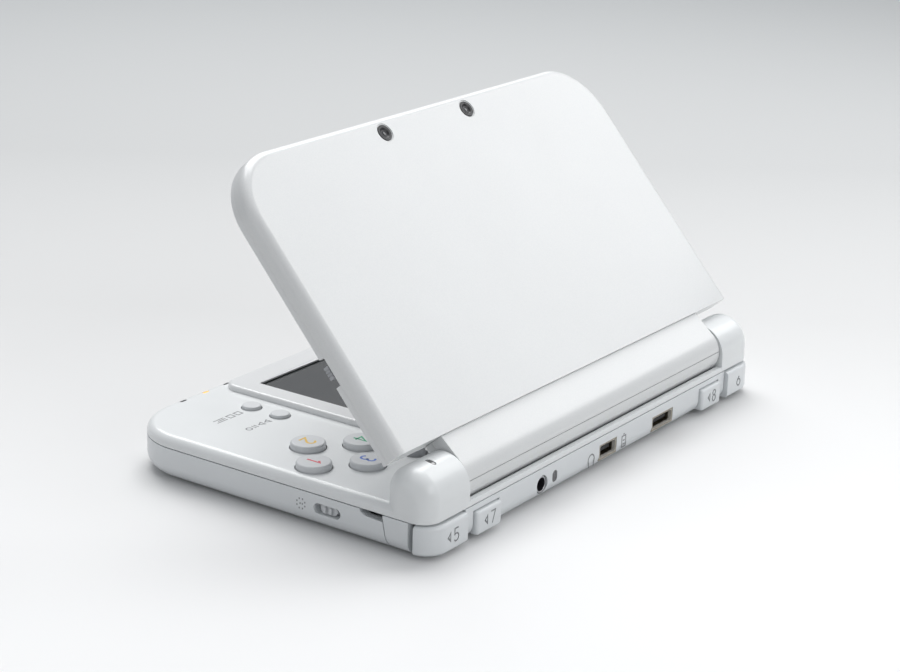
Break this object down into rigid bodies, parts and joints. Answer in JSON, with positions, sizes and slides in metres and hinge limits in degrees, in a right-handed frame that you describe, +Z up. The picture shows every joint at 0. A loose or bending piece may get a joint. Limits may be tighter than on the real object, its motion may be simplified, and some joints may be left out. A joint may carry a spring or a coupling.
{
  "type": "clamshell handheld game console",
  "caption": "Pale clamshell game console: lid on a round hinge barrel, screen inside each half, deck of buttons, pads and a stick, rear triggers and ports",
  "frame": {"origin": "middle of the rubber feet's underside, half way along the base from its front to the backs of the shoulder buttons", "axes": "+X to the device's right, +Y to the hinge at its back, +Z up; the lid is stored half open at 48.7 degrees"},
  "size_m": [0.16, 0.1012, 0.0878],
  "materials": {
    "shell_white": "satin pearl",
    "deck_white": "satin",
    "lid_white": "gloss pearl",
    "frame_white": "gloss",
    "button_white": "satin",
    "pad_grey": "matte",
    "smoke_window": "gloss",
    "lens_black": "gloss",
    "lower_screen": "gloss",
    "upper_glass": "gloss",
    "panel_dark": "matte",
    "board_green": "satin",
    "shield_metal": "brushed",
    "steel": "satin",
    "port_metal": "satin",
    "black_plastic": "matte",
    "battery_black": "matte",
    "mat_rubber": "matte",
    "foot_rubber": "matte",
    "light_amber": "gloss",
    "cable_brown": "satin",
    "stylus_white": "satin"
  },
  "bodies": {
    "base": {"bottom_cover": "shell_white", "lower_case": "shell_white", "upper_case": "deck_white", "rubber_feet": "foot_rubber", "base_screws": "steel", "touch_frame": "frame_white", "touch_panel": "lower_screen", "lower_display": "panel_dark", "main_board": "board_green", "shield_can": "shield_metal", "battery": "battery_black", "button_boards": "board_green", "button_mat": "mat_rubber", "circle_pad_housing": "black_plastic", "status_lights": "light_amber", "ear_light": "smoke_window", "shoulder_pins": "steel", "shoulder_switches": "black_plastic", "audio_jack": "black_plastic", "charge_port": "port_metal", "accessory_port": "port_metal", "sensor_window": "smoke_window", "card_slot": "black_plastic", "stylus_sleeve": "black_plastic", "hinge_shafts": "steel", "display_cable": "cable_brown"},
    "lid": {"lid_cover": "lid_white", "lid_frame": "frame_white", "hinge_cover_rear": "lid_white", "hinge_cover_front": "lid_white", "hinge_clutches": "steel", "upper_display": "panel_dark", "screen_glass": "upper_glass", "outer_cameras": "lens_black", "camera_board": "board_green", "speakers": "black_plastic", "lid_bumpers": "foot_rubber", "lid_screws": "steel"},
    "action_button_right": {"action_button_right": "button_white"},
    "action_button_front": {"action_button_front": "button_white"},
    "action_button_left": {"action_button_left": "button_white"},
    "action_button_back": {"action_button_back": "button_white"},
    "select_button": {"select_button": "button_white"},
    "start_button": {"start_button": "button_white"},
    "home_button": {"home_button": "button_white"},
    "power_button": {"power_button": "button_white"},
    "circle_pad": {"circle_pad": "pad_grey"},
    "circle_pad_slide": {"circle_pad_slide": "black_plastic"},
    "direction_pad": {"direction_pad": "button_white"},
    "direction_pad_pivot": {"direction_pad_pivot": "black_plastic"},
    "pointing_stick": {"pointing_stick": "pad_grey"},
    "pointing_stick_base": {"pointing_stick_base": "black_plastic"},
    "side_switch": {"side_switch": "button_white"},
    "shoulder_button_right": {"shoulder_button_right": "shell_white"},
    "shoulder_button_left": {"shoulder_button_left": "shell_white"},
    "trigger_button_right": {"trigger_button_right": "shell_white"},
    "trigger_button_left": {"trigger_button_left": "shell_white"},
    "stylus": {"stylus": "stylus_white"},
    "depth_slider": {"depth_slider": "pad_grey"},
    "volume_slider": {"volume_slider": "pad_grey"}
  },
  "joints": [
    {"name": "lid_hinge", "type": "hinge", "parent": "base", "child": "lid", "pos_m": [0, 0.0418, 0.0152], "axis": [-1, 0, 0], "range_deg": [-48.7, 106.3]},
    {"name": "action_right_press", "type": "slide", "parent": "base", "child": "action_button_right", "axis": [0, 0, -1], "range_m": [0, 0.0007], "stiffness_N_per_m": 1500},
    {"name": "action_front_press", "type": "slide", "parent": "base", "child": "action_button_front", "axis": [0, 0, -1], "range_m": [0, 0.0007], "stiffness_N_per_m": 1500},
    {"name": "action_left_press", "type": "slide", "parent": "base", "child": "action_button_left", "axis": [0, 0, -1], "range_m": [0, 0.0007], "stiffness_N_per_m": 1500},
    {"name": "action_back_press", "type": "slide", "parent": "base", "child": "action_button_back", "axis": [0, 0, -1], "range_m": [0, 0.0007], "stiffness_N_per_m": 1500},
    {"name": "select_press", "type": "slide", "parent": "base", "child": "select_button", "axis": [0, 0, -1], "range_m": [0, 0.0004], "stiffness_N_per_m": 1500},
    {"name": "start_press", "type": "slide", "parent": "base", "child": "start_button", "axis": [0, 0, -1], "range_m": [0, 0.0004], "stiffness_N_per_m": 1500},
    {"name": "home_press", "type": "slide", "parent": "base", "child": "home_button", "axis": [0, 0, -1], "range_m": [0, 0.0004], "stiffness_N_per_m": 1500},
    {"name": "power_press", "type": "slide", "parent": "base", "child": "power_button", "axis": [0, 1, 0], "range_m": [0, 0.0004], "stiffness_N_per_m": 1500},
    {"name": "circle_pad_x", "type": "slide", "parent": "base", "child": "circle_pad_slide", "axis": [1, 0, 0], "range_m": [-0.003, 0.003], "stiffness_N_per_m": 300},
    {"name": "circle_pad_y", "type": "slide", "parent": "circle_pad_slide", "child": "circle_pad", "axis": [0, 1, 0], "range_m": [-0.003, 0.003], "stiffness_N_per_m": 300},
    {"name": "direction_pad_tilt_side", "type": "hinge", "parent": "base", "child": "direction_pad_pivot", "pos_m": [-0.0626, -0.0166, 0.0084], "axis": [0, 1, 0], "range_deg": [-3, 3], "stiffness_Nm_per_rad": 0.2},
    {"name": "direction_pad_tilt_front", "type": "hinge", "parent": "direction_pad_pivot", "child": "direction_pad", "pos_m": [-0.0626, -0.0166, 0.0084], "axis": [1, 0, 0], "range_deg": [-3, 3], "stiffness_Nm_per_rad": 0.2},
    {"name": "pointing_stick_tilt_side", "type": "hinge", "parent": "base", "child": "pointing_stick_base", "pos_m": [0.0486, 0.0224, 0.0084], "axis": [0, 1, 0], "range_deg": [-3, 3], "stiffness_Nm_per_rad": 0.2},
    {"name": "pointing_stick_tilt_front", "type": "hinge", "parent": "pointing_stick_base", "child": "pointing_stick", "pos_m": [0.0486, 0.0224, 0.0084], "axis": [1, 0, 0], "range_deg": [-3, 3], "stiffness_Nm_per_rad": 0.2},
    {"name": "shoulder_right_press", "type": "hinge", "parent": "base", "child": "shoulder_button_right", "pos_m": [0.067, 0.0428, 0.0054], "axis": [0, 0, 1], "range_deg": [-4, 0], "stiffness_Nm_per_rad": 0.26},
    {"name": "shoulder_left_press", "type": "hinge", "parent": "base", "child": "shoulder_button_left", "pos_m": [-0.067, 0.0428, 0.0054], "axis": [0, 0, 1], "range_deg": [0, 4], "stiffness_Nm_per_rad": 0.26},
    {"name": "trigger_right_press", "type": "slide", "parent": "base", "child": "trigger_button_right", "axis": [0, -1, 0], "range_m": [0, 0.0008], "stiffness_N_per_m": 1200},
    {"name": "trigger_left_press", "type": "slide", "parent": "base", "child": "trigger_button_left", "axis": [0, -1, 0], "range_m": [0, 0.0008], "stiffness_N_per_m": 1200},
    {"name": "side_switch_slide", "type": "slide", "parent": "base", "child": "side_switch", "axis": [0, 1, 0], "range_m": [-0.0013, 0.0013]},
    {"name": "depth_slide", "type": "slide", "parent": "lid", "child": "depth_slider", "axis": [0, -0.66, 0.7513], "range_m": [-0.002, 0.002]},
    {"name": "volume_slide", "type": "slide", "parent": "lid", "child": "volume_slider", "axis": [0, -0.66, 0.7513], "range_m": [-0.002, 0.002]},
    {"name": "stylus_slide", "type": "slide", "parent": "base", "child": "stylus", "axis": [0, -1, 0], "range_m": [0, 0.075]}
  ]
}
